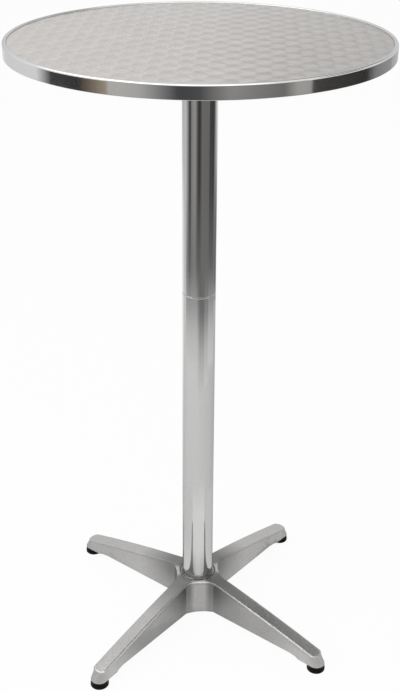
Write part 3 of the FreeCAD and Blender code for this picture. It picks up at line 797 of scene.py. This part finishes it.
# %% Turn an outline
def arc(centre, radius, start, end, steps=6):
    """Give points along an arc of an outline, between two angles in degrees."""
    turns = [math.radians(start + (end - start) * step / steps) for step in range(steps + 1)]
    return [(centre[0] + radius * math.cos(turn), centre[1] + radius * math.sin(turn)) for turn in turns]


def ring_outline(bottom, top, outside, inside, ease, steps):
    """Outline of a ring or tube whose outer edges are eased by an arc, which in one step is a chamfer."""
    return [(inside, bottom), *arc((outside - ease, bottom + ease), ease, -90, 0, steps),
            *arc((outside - ease, top - ease), ease, 0, 90, steps), (inside, top)]


def with_held_ends(outline, is_ring, run=1.5, hold=0.12):
    """Add a point close to each end of a long run of an outline."""
    held = []
    after = outline[1:] + outline[:1] if is_ring else outline[1:] + [None]
    for point, following in zip(outline, after):
        held.append(point)
        if following is None:
            continue
        length = math.dist(point, following)
        if length > run:
            for share in (hold / length, 1 - hold / length):
                held.append(tuple(a + (b - a) * share for a, b in zip(point, following)))
    return held


def turned(outline, slot, steps, centre=(0.0, 0.0)):
    """Turn an outline of radii and heights in millimetres round an upright axis."""
    is_ring = outline[0][0] > 0
    outline = with_held_ends(outline, is_ring)
    path_radius = max(radius for radius, height in outline) * MM
    points = [(radius * MM - path_radius, -height * MM, 0.0) for radius, height in outline]
    edges = [(number, number + 1) for number in range(len(points) - 1)]
    if is_ring:
        edges.append((len(points) - 1, 0))
    mesh = bpy.data.meshes.new("outline")
    mesh.from_pydata(points, edges, [])
    return made_by(turning, turning_inputs, mesh, Path_radius=path_radius, Steps_round=steps,
                   Centre=(centre[0], centre[1], 0.0), Finish=finishes[slot])


def table_piece(name, outline, slot, node, steps):
    """Turn an outline into a piece of the table's standing body."""
    hand_over(name, turned(outline, slot, steps=steps), "table", slot, node)


# %% [markdown]
# The top.
# A steel face lies on the board. The rim is a rolled strip: it stands 2.2 mm above the face, rounds over
# to the outside, runs down past the board and tucks under it. Its lip catches a bright line all round.

# %% Face and rim
lip_radius, lip_round = 293.5, 1.5
face_shoulder = 0.3
face_bottom, face_top, face_radius = measures("top_sheet")
face_step = face_top - face_shoulder
face_outline = [(0, face_bottom), (face_radius, face_bottom), (face_radius, face_step),
                (lip_radius - face_shoulder, face_step)]
face_outline += arc((lip_radius - 2 * face_shoulder, face_step), face_shoulder, 0, 90, 3) + [(0, face_top)]
table_piece("steel_face", face_outline, "swirl_steel", "top_sheet", steps=256)

rim_wall, tuck_radius = 1.7, 288.0
outer_round, lower_round = 3.0, 1.0
rim_bottom, rim_top, rim_radius = measures("edge_rim")
inner_radius, tuck_top = rim_radius - rim_wall, rim_bottom + rim_wall
rim_outline = [(tuck_radius, rim_bottom)]
rim_outline += arc((rim_radius - lower_round, rim_bottom + lower_round), lower_round, -90, 0, 5)
rim_outline += arc((rim_radius - outer_round, rim_top - outer_round), outer_round, 0, 90, 12)
rim_outline += arc((lip_radius + lip_round, rim_top - lip_round), lip_round, 90, 180, 8)
rim_outline += [(lip_radius, face_step), (inner_radius, face_step), (inner_radius, tuck_top),
                (tuck_radius, tuck_top)]
table_piece("rolled_rim", rim_outline, "rim_aluminium", "edge_rim", steps=320)

# %% [markdown]
# The pole.
# It is two tubes of one bore, joined by a sleeve inside. The sleeve's narrow collar shows between them as
# a bright line, because the ends of both tubes are eased by a millimetre.

# %% Pole
tube_wall, tube_ease = 1.5, 1.0
sleeve_play, sleeve_bore, collar_ease = 0.2, 13.0, 0.2
pole_steps = 128

lower_bottom, collar_bottom, tube_radius = measures("lower_tube")
collar_top, upper_top, tube_radius = measures("upper_tube")
tube_bore = tube_radius - tube_wall
lower_outline = ring_outline(lower_bottom, collar_bottom, tube_radius, tube_bore, tube_ease, 3)
upper_outline = ring_outline(collar_top, upper_top, tube_radius, tube_bore, tube_ease, 3)
table_piece("lower_pole", lower_outline, "tube_aluminium", "lower_tube", pole_steps)
table_piece("upper_pole", upper_outline, "tube_aluminium", "upper_tube", pole_steps)

sleeve_bottom, sleeve_top, collar_radius = measures("joint_sleeve")
sleeve_radius = tube_bore - sleeve_play
eased_radius = collar_radius - collar_ease
collar_outline = [(sleeve_bore, sleeve_bottom), (sleeve_radius, sleeve_bottom),
                  (sleeve_radius, collar_bottom), (eased_radius, collar_bottom),
                  (collar_radius, collar_bottom + collar_ease), (collar_radius, collar_top - collar_ease),
                  (eased_radius, collar_top), (sleeve_radius, collar_top),
                  (sleeve_radius, sleeve_top), (sleeve_bore, sleeve_top)]
table_piece("joint_collar", collar_outline, "tube_aluminium", "joint_sleeve", pole_steps)

# %% [markdown]
# Feet.
# Each foot is a black pad moulded round the head of a stud, with a loose washer above it. The stud screws
# up into the leg. When a foot is screwed out, its thread shows, so the thread is cut for real: a Geometry
# Nodes cylinder whose radius falls and rises with height and with the angle round it, which is all that a
# screw thread is.

# %% Tree that cuts a thread
thread_sides, rows_to_pitch = 24, 6.0
thread, sizes, thread_inputs = new_tree("threaded_rod", (
    ("Start", "Geometry"), ("Crest radius", "Float"), ("Thread depth", "Float"), ("Pitch", "Float"),
    ("Length", "Float"), ("Centre", "Vector"), ("Finish", "Material")))
turns = calc(thread, "DIVIDE", sizes["Length"], sizes["Pitch"])
rod_rows = calc(thread, "MULTIPLY", turns, rows_to_pitch)
rod = add(thread, "GeometryNodeMeshCylinder", {"Vertices": thread_sides, "Side Segments": rod_rows,
                                              "Depth": sizes["Length"], "Radius": sizes["Crest radius"]})
x, y, z = axes_of(thread, add(thread, "GeometryNodeInputPosition").outputs[0])
round_share = calc(thread, "DIVIDE", calc(thread, "ARCTAN2", y, x), 2 * math.pi)
phase = calc(thread, "SUBTRACT", calc(thread, "DIVIDE", z, sizes["Pitch"]), round_share)
wave = calc(thread, "MULTIPLY_ADD", calc(thread, "FRACT", phase), 2.0, -1.0)
valley = calc(thread, "ABSOLUTE", wave)
half_length = calc(thread, "MULTIPLY", sizes["Length"], 0.5)
to_end = calc(thread, "SUBTRACT", half_length, calc(thread, "ABSOLUTE", z))
taper = calc(thread, "MAXIMUM", calc(thread, "SUBTRACT", sizes["Thread depth"], to_end), 0.0)
cut = calc(thread, "MAXIMUM", calc(thread, "MULTIPLY", valley, sizes["Thread depth"]), taper)
shrink = calc(thread, "SUBTRACT", 1.0, calc(thread, "DIVIDE", cut, sizes["Crest radius"]))
cut_x, cut_y = (calc(thread, "MULTIPLY", axis, shrink) for axis in (x, y))
cut_place = combined(thread, cut_x, cut_y, z)
cut_rod = add(thread, "GeometryNodeSetPosition", {"Geometry": rod.outputs["Mesh"], "Position": cut_place})
placed = add(thread, "GeometryNodeTransform", {"Geometry": cut_rod.outputs[0],
                                              "Translation": sizes["Centre"]})
end_tree(thread, placed.outputs[0], sizes["Finish"])


# %% Cut a thread
def threaded(radius, depth, pitch, bottom, top, centre=(0.0, 0.0)):
    """Cut a threaded rod between two heights in millimetres."""
    start = bpy.data.meshes.new("start")
    middle = (centre[0], centre[1], (bottom + top) / 2 * MM)
    return made_by(thread, thread_inputs, start, Crest_radius=radius * MM, Thread_depth=depth * MM,
                   Pitch=pitch * MM, Length=(top - bottom) * MM, Centre=middle,
                   Finish=finishes["zinc_steel"])


def joined(*builds):
    """Put several meshes into one."""
    whole = builds[0]
    for build in builds[1:]:
        mesh = bpy.data.meshes.new("part_of_piece")
        build.to_mesh(mesh)
        build.free()
        whole.from_mesh(mesh)
    return whole


# %% Outlines of a foot
def foot_middle(foot):
    """Give the middle of a foot from above, in metres."""
    low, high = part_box("foot_pad_" + foot)
    return (low.x + high.x) / 2, (low.y + high.y) / 2


first_x = foot_middle("1")[0]
pad_bottom, pad_top, pad_radius = measures("foot_pad_1", first_x)
head_bottom, stud_top, head_radius = measures("foot_stud_1", first_x)
washer_bottom, washer_top, washer_radius = measures("foot_washer_1", first_x)

sole_radius, sole_recess, sole_slope = 12.2, 0.3, 0.4
pad_round, skirt_top, skirt_step, body_start, body_draft = 1.6, 4.2, 0.7, 5.3, 0.1
body_radius = pad_radius - skirt_step
pad_outline = [(0, pad_bottom + sole_recess), (sole_radius, pad_bottom + sole_recess),
               (sole_radius + sole_slope, pad_bottom)]
pad_outline += arc((pad_radius - pad_round, pad_bottom + pad_round), pad_round, -90, 0)
pad_outline += [(pad_radius, skirt_top), (body_radius, skirt_top + skirt_step), (body_radius, body_start)]
pad_outline += arc((body_radius - body_draft - pad_round, pad_top - pad_round), pad_round, 0, 90)
pad_outline += [(head_radius, pad_top), (head_radius, head_bottom), (0, head_bottom)]
head_outline = [(0, head_bottom), (head_radius, head_bottom), (head_radius, pad_top), (0, pad_top)]

washer_bore, washer_ease = 4.32, 0.2
washer_outline = ring_outline(washer_bottom, washer_top, washer_radius, washer_bore, washer_ease, 1)
print("pad", pad_radius, pad_top, "stud head", head_radius, head_bottom, "washer", washer_radius, washer_top)

# %% Pads, studs and washers
stud_crest, stud_depth, stud_pitch, stud_sunk = 3.92, 0.7, 1.25, 1.0
stud_bottom = pad_top - stud_sunk
for foot in ("1", "2", "3", "4"):
    middle = foot_middle(foot)
    pad = turned(pad_outline, "black_plastic", steps=72, centre=middle)
    hand_over(f"foot_{foot}_pad", pad, "foot_" + foot, "black_plastic", "foot_pad_" + foot)
    stud = joined(turned(head_outline, "zinc_steel", steps=32, centre=middle),
                  threaded(stud_crest, stud_depth, stud_pitch, stud_bottom, stud_top, middle))
    hand_over(f"foot_{foot}_stud", stud, "foot_" + foot, "zinc_steel", "foot_stud_" + foot)
    ring = turned(washer_outline, "black_plastic", steps=64, centre=middle)
    hand_over(f"foot_{foot}_ring", ring, f"foot_{foot}_washer", "black_plastic", "foot_washer_" + foot)


# %% [markdown]
# Fasteners under the hub.
# A rod runs through the pole and its nut pulls the base against it. A real nut starts as hexagonal bar,
# and its corners are turned off at both ends. Here it is the other way round: a turned blank with the
# chamfers, whose points are then drawn in to the six flats, which leaves the same curved edge on each
# flat. The rod is threaded where the nut runs, up to the top of the hub.

# %% Nut
def hexagonal(build, across_flats):
    """Draw a turned blank in to six flats, with corners on the X axis."""
    for point in build.verts:
        radius = math.hypot(point.co.x, point.co.y)
        turn = math.atan2(point.co.y, point.co.x) % (math.pi / 3) - math.pi / 6
        flat = across_flats / 2 * MM / math.cos(turn)
        if radius > flat:
            point.co.xy *= flat / radius
    return build


nut_flats = 17.0
nut_corner = nut_flats / math.sqrt(3)
nut_bore, bore_chamfer = 5.05, 0.6
chamfer_start, chamfer_rise, chamfer_steps = 8.2, 0.93, 8
nut_bottom, nut_top = measures("base_nut")[:2]
chamfer = [(chamfer_start + (nut_corner - chamfer_start) * step / chamfer_steps,
            chamfer_rise * step / chamfer_steps) for step in range(chamfer_steps + 1)]
nut_outline = [(nut_bore, nut_bottom + bore_chamfer), (nut_bore + bore_chamfer, nut_bottom)]
nut_outline += [(radius, nut_bottom + rise) for radius, rise in chamfer]
nut_outline += [(radius, nut_top - rise) for radius, rise in reversed(chamfer)]
nut_outline += [(nut_bore + bore_chamfer, nut_top), (nut_bore, nut_top - bore_chamfer)]
nut = hexagonal(turned(nut_outline, "zinc_steel", steps=120), nut_flats)
hand_over("hub_nut", nut, "table", "zinc_steel", "base_nut")

# %% Washer and rod
disc_bore, disc_round = 5.3, 0.5
disc_bottom, disc_top, disc_radius = measures("base_washer")
disc_outline = ring_outline(disc_bottom, disc_top, disc_radius, disc_bore, disc_round, 4)
table_piece("hub_washer", disc_outline, "zinc_steel", "base_washer", steps=96)

rod_depth, rod_pitch, rod_chamfer = 0.9, 1.5, 0.5
run_out, run_out_radius = 1.0, 4.7
rod_bottom, rod_top, rod_radius = measures("lower_tie_rod")
thread_top = measures("base_casting")[1]
plain_outline = [(0, thread_top - run_out), (run_out_radius, thread_top - run_out), (rod_radius, thread_top),
                 (rod_radius, rod_top - rod_chamfer), (rod_radius - rod_chamfer, rod_top), (0, rod_top)]
lower_rod = joined(turned(plain_outline, "zinc_steel", steps=48),
                   threaded(rod_radius, rod_depth, rod_pitch, rod_bottom, thread_top))
hand_over("lower_rod", lower_rod, "table", "zinc_steel", "lower_tie_rod")

# %% [markdown]
# Screws under the top.
# Four pan-head screws hold the bracket. One screw is turned, a cross is cut into its head, and Geometry
# Nodes sets a copy on each corner of a square: a circle with as many points as there are screws.

# %% Tree that sets screws round
screwing, sizes, screwing_inputs = new_tree("screws_round", (
    ("Screw", "Geometry"), ("Count", "Int"), ("Circle radius", "Float"), ("Slot", "Vector"),
    ("Slot height", "Float"), ("Finish", "Material")))
slot_place = combined(screwing, z=sizes["Slot height"])
bar = add(screwing, "GeometryNodeMeshCube", {"Size": sizes["Slot"]}).outputs["Mesh"]
cut_screw = sizes["Screw"]
for quarter_turn in (0.0, math.pi / 2):
    slot_bar = add(screwing, "GeometryNodeTransform", {"Geometry": bar, "Translation": slot_place,
                                                      "Rotation": (0, 0, quarter_turn)}).outputs[0]
    cut_screw = add(screwing, "GeometryNodeMeshBoolean", {"Mesh 1": cut_screw, "Mesh 2": slot_bar},
                    operation="DIFFERENCE", solver="EXACT").outputs[0]
spots = add(screwing, "GeometryNodeMeshCircle", {"Vertices": sizes["Count"],
                                                "Radius": sizes["Circle radius"]})
copies = add(screwing, "GeometryNodeInstanceOnPoints", {"Points": spots.outputs[0], "Instance": cut_screw})
end_tree(screwing, copies.outputs[0], sizes["Finish"])

# %% Screws
head_radius, head_height, head_round, head_flat = 4.4, 2.8, 1.8, 2.6
shank_radius, point_length = 2.2, 3.0
slot_size = (4.6 * MM, 1.0 * MM, 3.0 * MM)
head_bottom, screw_top, outermost = measures("bracket_screws")
head_top = head_bottom + head_height
screw_outline = [(0, head_bottom), (head_flat, head_bottom)]
screw_outline += arc((head_flat, head_bottom + head_round), head_round, -80, 0, 6)
screw_outline += [(head_radius, head_top), (shank_radius, head_top),
                  (shank_radius, screw_top - point_length), (0, screw_top)]
blank = bpy.data.meshes.new("screw_blank")
one_screw = turned(screw_outline, "zinc_steel", steps=40)
one_screw.to_mesh(blank)
one_screw.free()
screws = made_by(screwing, screwing_inputs, blank, Count=4, Circle_radius=(outermost - head_radius) * MM,
                 Slot=slot_size, Slot_height=head_bottom * MM, Finish=finishes["zinc_steel"])
hand_over("pan_head_screws", screws, "table", "zinc_steel", "bracket_screws")


# %% [markdown]
# Castings.
# The base and the bracket keep their CAD shape, which came from the same camera. Their loose triangles are
# merged and shaded afresh: a Weighted Normal modifier lets the large faces rule, so flats stay flat and
# only fillets bend light.

# %% Castings
def cast_piece(name, node, sharp=28):
    """Copy a cast CAD node, merge it and shade it by the size of its faces."""
    build = bmesh.new()
    build.from_mesh(nodes[node].data)
    item = hand_over(name, build, "table", "cast_aluminium", node, sharp)
    item.modifiers.new("even_shading", "WEIGHTED_NORMAL").keep_sharp = True


cast_piece("cross_base", "base_casting")
cast_piece("arm_bracket", "top_bracket")
